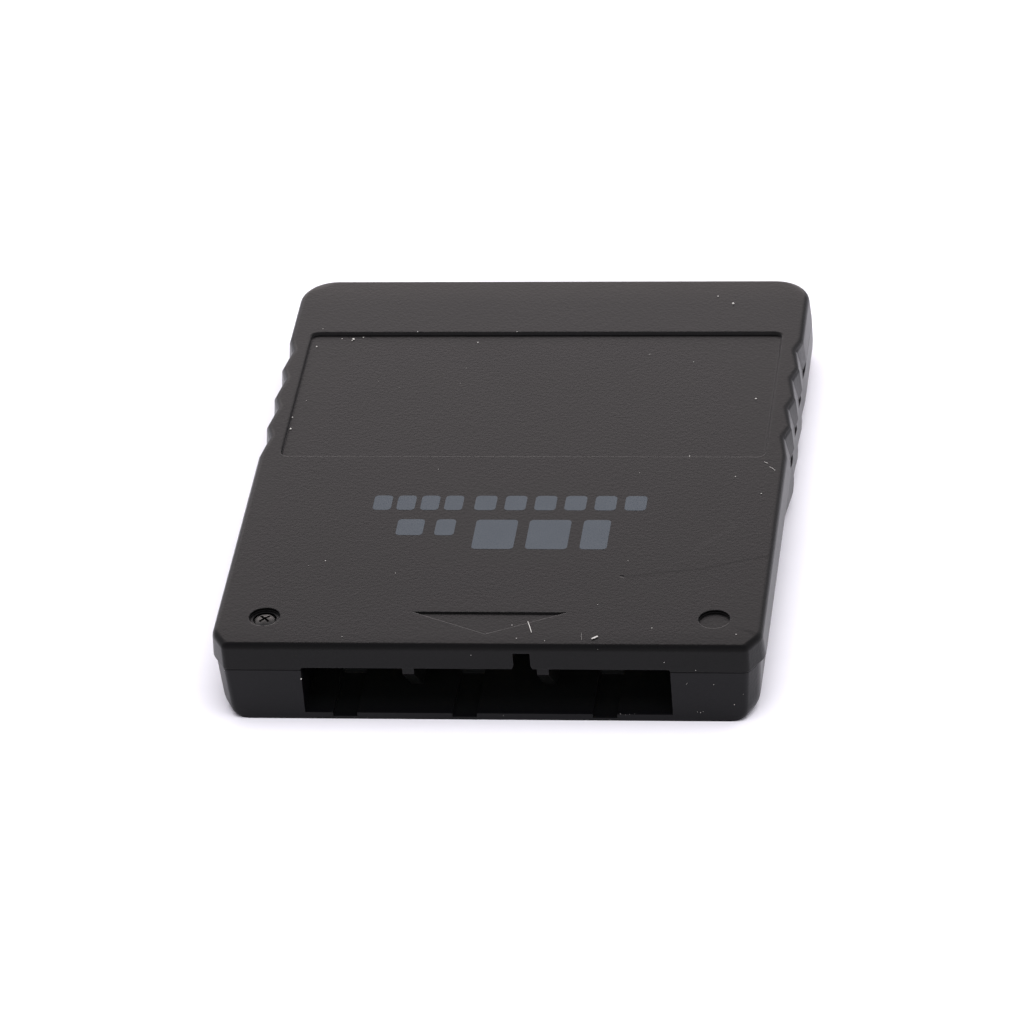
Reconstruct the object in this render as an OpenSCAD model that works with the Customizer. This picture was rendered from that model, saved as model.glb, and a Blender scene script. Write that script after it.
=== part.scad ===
// Memory card for a game console: two moulded shells round a small circuit board.
// +X is the card's right, +Y points to the gripped rear end and +Z is up.
// The origin is at the middle of the underside, and sizes are in millimetres.

/* [Card] */
// Width across the seam
card_w = 44; // [43:0.5:48]
// Length from the connector face to the rear end
card_l = 55; // [54:0.5:62]
// Thickness
card_h = 7; // [6.8:0.1:8]
// How far the seam between the two shells lies below the circuit board
seam_drop = 0.2; // [0.1:0.05:0.4]
// Gap that shows as the seam line
seam_gap = 0.06; // [0.02:0.01:0.1]
// Radius of the two rear corners in plan
rear_corner_r = 3; // [2.6:0.1:4]
// Radius that softens each front chamfer where it meets the front face
chamfer_front_r = 0.6; // [0.52:0.02:0.7]
// Radius that softens each front chamfer where it meets the side
chamfer_side_r = 2; // [1:0.25:3]

/* [Top shell] */
// Thickness of the plate under the top face
top_plate_t = 1.2; // [1.1:0.05:1.6]
// Thickness of the side and rear walls at the seam
side_wall_t = 1.4; // [1.3:0.05:1.7]
// Thickness of the wall over the connector opening
front_wall_t = 1.2; // [0.9:0.05:1.6]
// How far each side leans in from the seam to the top face
side_lean = 0.15; // [0.05:0.05:0.4]
// How far the front and rear lean in from the seam to the top face
end_lean = 0.06; // [0:0.02:0.2]
// Radius along the top edge
top_edge_r = 0.5; // [0.2:0.05:0.5]
// Width that each front chamfer takes off the front face, at the seam
chamfer_w = 1.25; // [1:0.05:1.5]
// Length of each front chamfer along the side, at the seam
chamfer_l = 2.1; // [1.9:0.1:2.8]

/* [Label recess] */
// Width of the shallow recess in the top face
label_w = 40.06; // [30:0.5:40.5]
// Length of the recess
label_l = 19.1; // [12:0.5:20]
// Distance from the connector face to the recess
label_from_front = 27.25; // [22:0.25:30]
// Depth of the recess
label_depth = 0.2; // [0.1:0.02:0.5]
// Corner radius of the recess
label_r = 0.6; // [0.3:0.1:3]

/* [Arrow] */
// Width of the arrow's base
arrow_w = 12.35; // [6:0.5:16]
// Length of the arrow from base to tip
arrow_l = 3; // [1.5:0.25:5]
// Distance from the connector face to the arrow's tip
arrow_from_front = 1.8; // [1.2:0.1:4]
// Depth of the arrow
arrow_depth = 0.11; // [0.08:0.01:0.4]

/* [Side grips] */
// Number of teeth along each side of the top shell
grip_count = 4; // [2:1:4]
// Distance from one tooth to the next
grip_pitch = 4.45; // [4:0.05:4.8]
// Distance from the rear end to the first valley
grip_from_rear = 11.25; // [9:0.25:13]
// Length of a tooth's steep flank, on the rear side of a valley
grip_steep_l = 1.6; // [0.8:0.1:2]
// Depth of a valley at the top face
grip_depth = 0.5; // [0.2:0.05:0.5]
// Depth of a valley at the seam
grip_seam_depth = 0.15; // [0.1:0.01:0.3]
// Number of teeth along each side of the bottom shell
low_grip_count = 3; // [2:1:3]
// Distance from the rear end to the bottom shell's first valley
low_grip_from_rear = 13.7; // [12:0.1:14.5]
// Length of the bottom shell's flank on the front side of a valley
low_grip_front_l = 1.85; // [1.2:0.05:2.4]
// Depth of a valley in the bottom shell
low_grip_depth = 0.2; // [0.1:0.02:0.3]

/* [Bottom shell] */
// Thickness of the floor
floor_t = 1; // [0.8:0.05:1.2]
// How far the sides of the plug-in nose stand inside the full width
nose_inset = 0.32; // [0.2:0.04:0.4]
// How far the nose narrows on each side from the seam down to the underside
nose_lean = 0.35; // [0:0.05:0.35]
// Radius of the nose's lower edges
nose_roll_r = 1.3; // [0.6:0.1:1.3]
// Radius of the lower corners of the nose's front face
nose_corner_r = 0.7; // [0.6:0.1:1.3]
// Thickness of the nose's side walls at the seam
nose_wall_t = 1.7; // [1.6:0.02:1.78]
// Width that each chamfer takes off the nose's front face
nose_chamfer_w = 0.98; // [0.8:0.02:1.1]
// Length of each chamfer of the nose along the side
nose_chamfer_l = 1.65; // [1.45:0.05:2.2]
// Distance from the connector face to the start of the step to the full width
nose_l = 27.1; // [25:0.5:28]
// Length of the sloping step
step_l = 2.8; // [1.5:0.1:3]
// How far the rounded lower edge of the gripped end reaches in
roll_w = 1.6; // [1:0.1:1.8]
// How far that rounded edge reaches up
roll_h = 2.6; // [1.5:0.1:3]
// Height of the tongue that stands up inside the top shell
lip_h = 0.5; // [0.3:0.05:0.6]
// Thickness of the tongue
lip_t = 0.5; // [0.4:0.05:0.6]
// Height of the stiffening ribs on the floor
floor_rib_h = 0.5; // [0.3:0.1:0.8]
// Thickness of the stiffening ribs
floor_rib_t = 0.7; // [0.5:0.1:1]
// Distance from the board's shoulders to the first stiffening rib
floor_rib_start = 8; // [5:0.5:9]
// Distance from one stiffening rib to the next
floor_rib_pitch = 10; // [8:0.5:11]

/* [Connector opening] */
// Distance from the opening's side to the axis of the screw or of the dimple
screw_to_bay = 3.25; // [3.2:0.05:3.6]
// Depth of the opening behind the front face
bay_l = 10; // [9.6:0.2:11]
// Thickness of the floor lip under the opening
bay_floor_t = 0.6; // [0.5:0.05:0.8]
// Thickness of the walls round the opening
bay_wall_t = 1; // [0.8:0.1:1.2]
// Radius of the opening's upper corners
bay_corner_r = 0.18; // [0.05:0.01:0.18]
// Places of the two dividers from the middle, as shares of the opening's width
divider_at = [-0.208, 0.157];
// Thickness of a divider
divider_t = 0.93; // [0.7:0.05:1.1]
// How far a divider's front tab hangs down into the opening
divider_tab_h = 0.8; // [0.4:0.1:1.2]
// How far a divider's tab stands back from the front face
divider_front_gap = 0.1; // [0.08:0.02:0.3]
// How far the foot of a divider's sloping front stands back from the front face
divider_setback = 3.6; // [2:0.1:5]
// Clearance between a divider and the floor of the opening
divider_gap = 0.25; // [0.1:0.05:0.4]
// Places of the three grooves in the floor lip, as shares of the opening's width
groove_at = [-0.391, -0.065, 0.316];
// Width of a groove
groove_w = 1.95; // [1:0.05:2.5]
// Depth of a groove
groove_depth = 0.35; // [0.1:0.05:0.4]
// Length of a groove
groove_l = 6; // [2:0.5:9]
// Place of the keying notch from the middle, as a share of the opening's width
key_at = 0.102; // [0.095:0.001:0.104]
// Width of the keying notch
key_w = 1.35; // [1:0.05:1.4]
// Height of the keying notch above the opening
key_h = 1.45; // [0.8:0.05:1.5]
// How far each side of the keying notch flares at the bottom
key_flare = 0.15; // [0:0.01:0.15]

/* [Screw and dimple] */
// Distance of the screw and of the dimple from the connector face
screw_from_front = 4; // [3.6:0.1:5]
// Distance of the screw and of the dimple from the card's side
screw_from_side = 4.1; // [3.9:0.05:4.2]
// Radius of the screw's recess and of the dimple
recess_r = 1.25; // [1.1:0.05:1.3]
// Depth of the screw's recess and of the dimple
recess_depth = 0.22; // [0.15:0.01:0.4]
// How far the screw's head lies below the top face
screw_sunk = 0.14; // [0.1:0.01:0.3]
// Radius of the screw's head
screw_head_r = 0.86; // [0.8:0.01:0.95]
// Clearance round the screw's head
screw_head_gap = 0.08; // [0.05:0.01:0.12]
// Height of the screw's head
screw_head_h = 0.7; // [0.5:0.05:0.8]
// Radius of the screw's shank
screw_r = 0.6; // [0.5:0.05:0.65]
// Length of the shank under the head
screw_l = 4; // [3:0.25:4.25]
// Clearance of the screw's shank in the bottom shell's boss
screw_gap = 0.05; // [0.03:0.01:0.08]
// Radius of the bosses under the screw and the dimple
boss_r = 2.1; // [1.9:0.05:2.15]
// Radius of the locating peg under the dimple
peg_r = 0.9; // [0.7:0.05:1]
// Height of the locating peg above the seam
peg_h = 0.7; // [0.4:0.05:0.9]

/* [Circuit board] */
// Thickness of the board
board_t = 0.8; // [0.6:0.05:0.85]
// Headroom between the board and the top plate
board_headroom = 0.1; // [0.05:0.01:0.15]
// Clearance between the board and the side walls
board_side_gap = 0.7; // [0.6:0.1:1]
// Distance from the front face to the board's front edge
board_from_front = 2.2; // [1.9:0.1:2.6]
// How far the board's tongue laps over the walls of the opening
tongue_lap = 0.55; // [0.3:0.05:0.7]
// Distance from the front face to the board's shoulders
board_shoulder = 12.5; // [12.2:0.1:13.5]
// Radius of the board's rear corners
board_r = 1.5; // [0.5:0.1:2]
// Radius of a board post
post_r = 1.3; // [1:0.05:1.4]
// Radius of a locating pin on a post
pin_r = 0.6; // [0.4:0.05:0.7]
// Distance of the posts from the card's side
post_from_side = 5.2; // [4.8:0.1:5.6]
// Distance of the front posts from the board's shoulders
post_from_shoulder = 2.2; // [1.8:0.1:2.6]
// Distance of the rear posts from the board's rear edge
post_from_rear = 2.4; // [2:0.1:3]
// Clearance round the pins, the peg, the hooks and the tongue
fit_gap = 0.08; // [0.05:0.01:0.12]

/* [Contacts] */
// Number of contacts in each of the three bays
bay_contacts = [2, 3, 3];
// Distance from one contact to the next, as a share of the opening's width
contact_spread = 0.109; // [0.095:0.001:0.11]
// Width of a contact, as a share of that distance
contact_fill = 0.62; // [0.45:0.01:0.66]
// Length of a contact
contact_l = 6.4; // [5:0.2:6.6]
// Thickness of a contact
contact_t = 0.2; // [0.1:0.05:0.2]
// Distance from the board's front edge to a contact
contact_margin = 0.3; // [0.1:0.05:0.5]

/* [Rear hooks] */
// Places of the two hooks across the card
hook_x = [-10, 10];
// Width of a hook
hook_w = 5; // [3:0.5:6]
// Thickness of a hook
hook_t = 0.8; // [0.6:0.05:0.9]
// Clearance between the hooks and the board's rear edge
hook_gap = 0.25; // [0.15:0.05:0.4]
// Height of a hook's lower end above the underside
hook_z = 2.4; // [2.2:0.1:2.8]
// How far a hook's barb reaches into the rear wall
barb_t = 0.35; // [0.2:0.05:0.4]
// Height of the barb
barb_h = 0.7; // [0.5:0.1:0.9]

/* [Components] */
// Width, length and thickness of the memory chip's body
memory_size = [18.4, 12, 1];
// Number of leads on each short side of the memory chip
memory_leads = 24; // [12:1:24]
// Distance from the board's rear edge to the memory chip's centre
memory_from_rear = 11; // [8:0.5:12]
// Width, length and thickness of the controller's body
controller_size = [10, 10, 1.4];
// Number of leads on each side of the controller
controller_leads = 16; // [8:1:16]
// Distance of the controller from the board's left side and from its shoulders
controller_at = [11.4, 8.5];
// Distance from one fine lead to the next
lead_pitch = 0.5; // [0.4:0.05:0.5]
// Width of a fine lead
lead_w = 0.22; // [0.15:0.01:0.25]
// Width, length and thickness of the voltage regulator's body
regulator_size = [6.5, 3.5, 1.6];
// Distance of the regulator from the board's right side and from its shoulders
regulator_at = [9.4, 9];
// Width, length and thickness of the resonator's can
resonator_size = [5, 3.2, 1.1];
// Distance of the resonator from the board's middle and from its shoulders
resonator_at = [2.2, 12];
// Width, length and thickness of the supply capacitor
supply_capacitor_size = [3.5, 2.8, 1.9];
// Distance of the supply capacitor from the board's right side and from its shoulders
supply_capacitor_at = [7.9, 3.2];
// Width, length and thickness of a small ceramic capacitor
capacitor_size = [0.8, 1.6, 0.8];
// Place of the first ceramic capacitor from the regulator
capacitor_row = [-5.1, 7];
// Width, length and thickness of a series resistor
resistor_size = [0.8, 1.6, 0.45];
// Place of the first series resistor from the controller
resistor_row = [5.5, -5.9];
// Distance from one small part to the next
chip_part_pitch = 1.6; // [1.2:0.1:1.8]

/* [Hidden] */
$fn = 48;

// Colours of the finishes
shell_black = "#1b1a1b";
board_green = "#1d3a2a";
contact_gold = "#b8924a";
chip_black = "#151517";
lead_tin = "#a8a8aa";

// Steps of the arcs in the outlines, and of the rounded edges
corner_steps = 10;
soft_steps = 3;
edge_steps = 5;
// Overlap of a cut past the face that it opens
eps = 0.02;
// How far a cut reaches into the open beyond the piece
past = 1;

// Faces and heights that the pieces share
half_w = card_w / 2;
front_y = -card_l / 2;
rear_y = card_l / 2;
board_top = card_h - top_plate_t - board_headroom;
board_z = board_top - board_t;
seam_z = board_z - seam_drop;
ceiling_z = card_h - top_plate_t;
cavity_half_w = half_w - side_wall_t;
cavity_rear_y = rear_y - side_wall_t;
cavity_r = rear_corner_r - side_wall_t;
nose_half_w = half_w - nose_inset;
pocket_half_w = nose_half_w - nose_wall_t;
step_y = front_y + nose_l;
bay_w = 2 * (half_w - screw_from_side - screw_to_bay);
bay_rear_y = front_y + bay_l;
bay_outer_w = bay_w + 2 * bay_wall_t;
divider_x = divider_at * bay_w;
groove_x = groove_at * bay_w;
key_x = key_at * bay_w;
contact_pitch = contact_spread * bay_w;
contact_w = contact_fill * contact_pitch;
shoulder_y = front_y + board_shoulder;
board_front_y = front_y + board_from_front;
hook_rear_y = cavity_rear_y - fit_gap;
board_rear_y = hook_rear_y - hook_t - hook_gap;
board_half_w = cavity_half_w - board_side_gap;
screw_x = half_w - screw_from_side;
screw_y = front_y + screw_from_front;
screw_seat_z = card_h - screw_sunk - screw_head_h;
post_x = half_w - post_from_side;
post_y = [shoulder_y + post_from_shoulder, board_rear_y - post_from_rear];
lip_outer = side_wall_t - lip_t;
// Depth to which the tongue is rooted in the wall under the seam
lip_root = 1;

// Outlines

// Points of an arc of radius r about c, from angle a0 to angle a1
function arc(c, r, a0, a1, steps) =
    [for (i = [0:steps]) let (a = a0 + (a1 - a0) * i / steps) c + r * [cos(a), sin(a)]];

// Rounded corner at v, between faces whose outward normals lie at angles a0 and a1.
// inset moves both faces inwards and keeps the arc's centre, as a true offset does.
function soft_corner(v, a0, a1, r, inset, steps) =
    let (
        n0 = [cos(a0), sin(a0)],
        n1 = [cos(a1), sin(a1)],
        centre = v - r * (n0 + n1) / (1 + n0 * n1)
    )
    arc(centre, r - inset, a0, a1, steps);

// Front corner with its chamfer, from the front face at v0 to the side at v1
function chamfered_corner(v0, v1, inset) =
    let (a = atan2(v1.y - v0.y, v1.x - v0.x) - 90)
    concat(
        soft_corner(v0, -90, a, chamfer_front_r, inset, soft_steps),
        soft_corner(v1, a, 0, chamfer_side_r, inset, soft_steps)
    );

// Row of teeth along the right side at x, from the front to the rear.
// The first valley is at y, and each next one lies one pitch further forward.
function teeth(x, y, count, depth, front_l, rear_l) =
    concat(
        [[x, y - (count - 1) * grip_pitch - front_l]],
        [for (i = [count - 1:-1:0], p = [[x - depth, 0], [x, rear_l]])
            [p.x, y - i * grip_pitch + p.y]]
    );

// Whole ring at height z, from the points of its right half
function ring(half, z) =
    concat(
        [for (p = half) [p.x, p.y, z]],
        [for (i = [len(half) - 1:-1:0]) [-half[i].x, half[i].y, z]]
    );

// Right half of the top shell's outline at a share s of its height, with the top edge's inset
function top_half(s, inset) =
    let (
        x = half_w - side_lean * s,
        y0 = front_y + end_lean * s,
        y1 = rear_y - end_lean * s,
        corner_x = half_w - chamfer_w,
        corner_l = chamfer_l * (x - corner_x) / chamfer_w,
        depth = grip_seam_depth + (grip_depth - grip_seam_depth) * s,
        valley_y = rear_y - grip_from_rear
    )
    concat(
        chamfered_corner([corner_x, y0], [x, y0 + corner_l], inset),
        teeth(x - inset, valley_y, grip_count, depth, grip_pitch - grip_steep_l, grip_steep_l),
        soft_corner([x, y1], 0, 90, rear_corner_r, inset, corner_steps)
    );

// Right half of the bottom shell's outline at height z
function bottom_half(z) =
    let (
        down = (seam_z - z) / seam_z,
        nose_roll = roll_inset(z, nose_roll_r, nose_roll_r),
        roll = roll_inset(z, roll_w, roll_h),
        nose_x = nose_half_w - nose_lean * down - nose_roll,
        face_roll = roll_inset(z, nose_corner_r, nose_corner_r),
        face_x = nose_half_w - nose_lean * down - face_roll - nose_chamfer_w,
        x = half_w - roll,
        depth = low_grip_depth * min(1, z / roll_h),
        valley_y = rear_y - low_grip_from_rear,
        rear_l = grip_pitch - low_grip_front_l
    )
    concat(
        chamfered_corner([face_x, front_y], [nose_x, front_y + nose_chamfer_l], 0),
        [[nose_x, step_y], [x, step_y + step_l]],
        teeth(x, valley_y, low_grip_count, depth, low_grip_front_l, rear_l),
        soft_corner([x, rear_y - roll], 0, 90, rear_corner_r - roll, 0, corner_steps)
    );

// Inset of an edge that is rounded over w inwards and h upwards, at height z
function roll_inset(z, w, h) =
    z >= h ? 0 : w * (1 - sqrt(1 - pow(1 - z / h, 2)));

// Solid through a list of rings with equal numbers of points, lowest ring first.
// Both ends are closed by strips from each point to its mirror image.
module loft(rings) {
    n = len(rings[0]);
    last = len(rings) - 1;
    top = last * n;
    polyhedron(
        points = [for (r = rings) each r],
        faces = concat(
            [for (i = [0:n / 2 - 2]) [i, i + 1, n - 2 - i, n - 1 - i]],
            [for (k = [0:last - 1], i = [0:n - 1], side = [0, 1])
                let (
                    a = k * n + i,
                    b = k * n + (i + 1) % n
                )
                side == 0 ? [a, a + n, b] : [b, a + n, b + n]],
            [for (i = [0:n / 2 - 2]) [top + n - 1 - i, top + n - 2 - i, top + i + 1, top + i]]
        )
    );
}

// Rectangle with round corners between two opposite corners
module round_rect(x0, y0, x1, y1, r) {
    translate([x0 + r, y0]) square([x1 - x0 - 2 * r, y1 - y0]);
    translate([x0, y0 + r]) square([x1 - x0, y1 - y0 - 2 * r]);
    for (x = [x0 + r, x1 - r], y = [y0 + r, y1 - r]) {
        translate([x, y]) circle(r);
    }
}

// Upright slab between two heights, over the 2D shape that follows
module slab(z0, z1) {
    translate([0, 0, z0]) linear_extrude(z1 - z0) children();
}

// Box between two opposite corners
module block(low, high) {
    translate(low) cube(high - low);
}

// Housing

// Outside of the top shell: leaning sides, teeth, chamfered front and rounded top edge
module top_skin() {
    shell_h = card_h - seam_z;
    edge_z = card_h - top_edge_r;
    loft(concat(
        [ring(top_half(0, 0), seam_z)],
        [for (i = [0:edge_steps])
            let (
                a = 90 * i / edge_steps,
                z = edge_z + top_edge_r * sin(a)
            )
            ring(top_half((z - seam_z) / shell_h, top_edge_r * (1 - cos(a))), z)]
    ));
}

// Outside of the bottom shell: slimmer nose, step, teeth and rolled lower edges
module bottom_skin() {
    low_z = [for (i = [0:edge_steps]) nose_roll_r * (1 - cos(90 * i / edge_steps))];
    high_z = [for (i = [2:edge_steps])
        let (z = roll_h * (1 - cos(90 * i / edge_steps)))
        if (z > nose_roll_r + eps) z];
    loft([for (z = concat(low_z, high_z, [seam_z - seam_gap])) ring(bottom_half(z), z)]);
}

// Flat arrow that shows which end is plugged in
module arrow() {
    tip_y = front_y + arrow_from_front;
    slab(card_h - arrow_depth, card_h + eps) {
        polygon([
            [0, tip_y],
            [arrow_w / 2, tip_y + arrow_l],
            [-arrow_w / 2, tip_y + arrow_l]
        ]);
    }
}

// Shallow recess that takes the card's print
module label_recess() {
    y0 = front_y + label_from_front;
    slab(card_h - label_depth, card_h + eps) {
        round_rect(-label_w / 2, y0, label_w / 2, y0 + label_l, label_r);
    }
}

// Notch over the opening that keys the card, wider at the bottom
module key_notch() {
    translate([key_x, front_y - eps, board_z]) {
        rotate([90, 0, 180]) {
            mirror([1, 0, 0]) {
                linear_extrude(front_wall_t + 2 * eps) {
                    polygon([
                        [-key_w / 2 - key_flare, -eps],
                        [key_w / 2 + key_flare, -eps],
                        [key_w / 2, 2 * key_flare],
                        [key_w / 2, key_h],
                        [-key_w / 2, key_h],
                        [-key_w / 2, 2 * key_flare]
                    ]);
                }
            }
        }
    }
}

// Head of the connector opening, cut through the top shell's front wall
module opening_head() {
    r = bay_corner_r;
    translate([0, front_y - eps, 0]) {
        rotate([-90, 0, 0]) {
            linear_extrude(front_wall_t + 2 * eps) {
                mirror([0, 1, 0]) {
                    translate([-bay_w / 2, seam_z - past]) {
                        square([bay_w, board_z - r - seam_z + past]);
                    }
                    translate([-bay_w / 2 + r, seam_z - past]) {
                        square([bay_w - 2 * r, board_z - seam_z + past]);
                    }
                    for (x = [-bay_w / 2 + r, bay_w / 2 - r]) {
                        translate([x, board_z - r]) circle(r);
                    }
                }
            }
        }
    }
}

// Divider that hangs from the top plate between two bays of contacts
module divider(x) {
    foot_z = bay_floor_t + divider_gap;
    tab_z = board_z - divider_tab_h;
    back_y = bay_rear_y - divider_gap;
    tab_y = front_y + divider_front_gap;
    set_y = front_y + divider_setback;
    translate([x - divider_t / 2, 0, 0]) {
        rotate([90, 0, 90]) {
            linear_extrude(divider_t) {
                polygon([
                    [tab_y, ceiling_z + eps],
                    [tab_y, tab_z + divider_tab_h / 4],
                    [tab_y + divider_tab_h / 4, tab_z],
                    [set_y, foot_z],
                    [back_y, foot_z],
                    [back_y, ceiling_z + eps]
                ]);
            }
        }
    }
}

// Hook that hangs behind the rear wall and catches in the bottom shell
module hook(x) {
    translate([x - hook_w / 2, 0, 0]) {
        rotate([90, 0, 90]) {
            linear_extrude(hook_w) {
                polygon([
                    [hook_rear_y - hook_t, ceiling_z + eps],
                    [hook_rear_y - hook_t, hook_z],
                    [hook_rear_y, hook_z],
                    [hook_rear_y + barb_t, hook_z + barb_h / 2],
                    [hook_rear_y + barb_t, hook_z + barb_h],
                    [hook_rear_y, hook_z + barb_h],
                    [hook_rear_y, ceiling_z + eps]
                ]);
            }
        }
    }
}

// Inside of the top shell: main hollow and the rebate for the bottom shell's tongue
module top_hollow() {
    rebate = lip_outer - fit_gap;
    slab(seam_z - eps, ceiling_z) {
        round_rect(-cavity_half_w, front_y + front_wall_t, cavity_half_w, cavity_rear_y, cavity_r);
    }
    slab(seam_z - eps, seam_z + lip_h) {
        round_rect(
            -half_w + rebate, front_y + front_wall_t, half_w - rebate, rear_y - rebate,
            rear_corner_r - rebate
        );
    }
}

module top_shell() {
    color(shell_black) {
        difference() {
            union() {
                difference() {
                    top_skin();
                    top_hollow();
                    opening_head();
                }
                for (side = [-1, 1]) {
                    translate([side * screw_x, screw_y, seam_z]) {
                        cylinder(r = boss_r, h = ceiling_z - seam_z + eps);
                    }
                    for (y = post_y) {
                        translate([side * post_x, y, board_top]) {
                            cylinder(r = post_r, h = board_headroom + eps);
                        }
                    }
                }
                for (x = divider_x) divider(x);
                for (x = hook_x) hook(x);
            }
            label_recess();
            arrow();
            key_notch();
            for (side = [-1, 1]) {
                translate([side * screw_x, screw_y, card_h - recess_depth]) {
                    cylinder(r = recess_r, h = card_h);
                }
            }
            translate([-screw_x, screw_y, screw_seat_z]) {
                cylinder(r = screw_head_r + screw_head_gap, h = card_h);
            }
            translate([-screw_x, screw_y, seam_z - past]) {
                cylinder(r = screw_r + 2 * screw_gap, h = card_h);
            }
            translate([screw_x, screw_y, seam_z - past]) {
                cylinder(r = peg_r + fit_gap, h = past + peg_h + fit_gap);
            }
        }
    }
}

// Tongue that stands up inside the top shell's rebate, open at the front and at the hooks
module lip() {
    difference() {
        slab(seam_z - lip_root, seam_z + lip_h) {
            round_rect(
                -half_w + lip_outer, front_y + lip_outer, half_w - lip_outer, rear_y - lip_outer,
                rear_corner_r - lip_outer
            );
        }
        slab(0, card_h) {
            round_rect(-cavity_half_w, front_y, cavity_half_w, cavity_rear_y, cavity_r);
        }
        block([-half_w, front_y - past, 0], [half_w, screw_y, card_h]);
    }
}

// Hollow of the bottom shell: the gripped end, and the pockets beside the opening
module bottom_hollow() {
    slab(floor_t, card_h) {
        round_rect(-cavity_half_w, step_y + step_l, cavity_half_w, cavity_rear_y, cavity_r);
    }
    slab(floor_t, card_h) {
        round_rect(-pocket_half_w, front_y + front_wall_t, pocket_half_w, rear_y / 2, cavity_r);
    }
}

// Walls round the opening, which carry the board's tongue
module bay_walls() {
    half = bay_outer_w / 2;
    rear = bay_rear_y + bay_wall_t;
    block([-half, front_y + front_wall_t - eps, floor_t / 2], [half, rear, seam_z - seam_gap]);
    block([-half, front_y + front_wall_t + fit_gap, floor_t], [half, rear, board_z]);
}

// Post that carries the board, with or without its locating pin
module board_post(x, y, pinned) {
    translate([x, y, floor_t / 2]) {
        cylinder(r = post_r, h = board_z - floor_t / 2);
        if (pinned) cylinder(r = pin_r, h = board_top - fit_gap - floor_t / 2);
    }
}

// Stiffening rib across the floor at y, as long as the hollow is wide there
module floor_rib(y) {
    x = (y > step_y + step_l ? cavity_half_w : pocket_half_w) + eps;
    block(
        [-x, y - floor_rib_t / 2, floor_t / 2],
        [x, y + floor_rib_t / 2, floor_t + floor_rib_h]
    );
}

module bottom_shell() {
    color(shell_black) {
        difference() {
            union() {
                difference() {
                    bottom_skin();
                    bottom_hollow();
                }
                bay_walls();
                for (side = [-1, 1]) {
                    translate([side * screw_x, screw_y, floor_t / 2]) {
                        cylinder(r = boss_r, h = seam_z - floor_t / 2);
                    }
                    for (i = [0, 1]) board_post(side * post_x, post_y[i], i == 1);
                }
                for (i = [0:2]) floor_rib(shoulder_y + floor_rib_start + i * floor_rib_pitch);
                lip();
                translate([screw_x, screw_y, floor_t]) cylinder(r = peg_r, h = seam_z - floor_t + peg_h);
            }
            block([-bay_w / 2, front_y - past, bay_floor_t], [bay_w / 2, bay_rear_y, card_h]);
            for (x = groove_x) {
                block(
                    [x - groove_w / 2, front_y - past, bay_floor_t - groove_depth],
                    [x + groove_w / 2, front_y + groove_l, bay_floor_t + eps]
                );
            }
            translate([-screw_x, screw_y, screw_seat_z - screw_l - screw_gap]) {
                cylinder(r = screw_r + screw_gap, h = card_h);
            }
            for (x = hook_x) {
                block(
                    [x - hook_w / 2 - fit_gap, cavity_rear_y - eps, hook_z - fit_gap],
                    [x + hook_w / 2 + fit_gap, cavity_rear_y + barb_t, hook_z + barb_h + fit_gap]
                );
            }
        }
    }
}

// Electronics

module circuit_board() {
    tongue_half_w = bay_w / 2 + tongue_lap;
    slot_back_y = bay_rear_y - divider_gap + fit_gap;
    color(board_green) {
        difference() {
            slab(board_z, board_top) {
                difference() {
                    union() {
                        round_rect(-board_half_w, shoulder_y, board_half_w, board_rear_y, board_r);
                        translate([-tongue_half_w, board_front_y]) {
                            square([2 * tongue_half_w, shoulder_y - board_front_y + board_r]);
                        }
                    }
                    for (x = divider_x) {
                        translate([x - divider_t / 2 - fit_gap, board_front_y - past]) {
                            square([divider_t + 2 * fit_gap, slot_back_y - board_front_y + past]);
                        }
                    }
                }
            }
            for (side = [-1, 1]) {
                translate([side * post_x, post_y[1], board_z - past]) {
                    cylinder(r = pin_r + fit_gap, h = board_t + 2 * past);
                }
            }
        }
    }
}

// Edges of the three bays across the card, and the middle of each
bay_low = [-bay_w / 2, divider_x[0] + divider_t / 2, divider_x[1] + divider_t / 2];
bay_high = [divider_x[0] - divider_t / 2, divider_x[1] - divider_t / 2, bay_w / 2];

// Places of the contacts across the card, bay by bay
contact_x = [for (b = [0:2], i = [0:bay_contacts[b] - 1])
    (bay_low[b] + bay_high[b]) / 2 + (i - (bay_contacts[b] - 1) / 2) * contact_pitch];

// One flat contact on the underside of the board's tongue, with its round front end
module contact(i) {
    y0 = board_front_y + contact_margin;
    color(contact_gold) {
        slab(board_z - contact_t, board_z) {
            translate([contact_x[i - 1], 0]) {
                translate([0, y0 + contact_w / 2]) circle(contact_w / 2);
                translate([-contact_w / 2, y0 + contact_w / 2]) {
                    square([contact_w, contact_l - contact_w / 2]);
                }
            }
        }
    }
}

// Middles of the controller and of the regulator, from the middle of the board's shoulders
controller_place = [-board_half_w + controller_at.x, controller_at.y];
regulator_place = [board_half_w - regulator_at.x, regulator_at.y];

// Leads along one side of a chip that stands on z = 0, with the chip's side at x = 0
module lead_row(count, body_h, w) {
    foot_l = 0.5;
    reach = 0.8;
    t = 0.14;
    mid_z = body_h / 2;
    for (i = [0:count - 1]) {
        translate([0, (i - (count - 1) / 2) * lead_pitch + w / 2, 0]) {
            rotate([90, 0, 0]) {
                linear_extrude(w) {
                    polygon([
                        [-eps, mid_z],
                        [-eps, mid_z + t],
                        [reach - foot_l, mid_z + t],
                        [reach - foot_l + t, t],
                        [reach, t],
                        [reach, 0],
                        [reach - foot_l, 0],
                        [reach - foot_l - t, mid_z]
                    ]);
                }
            }
        }
    }
}

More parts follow.
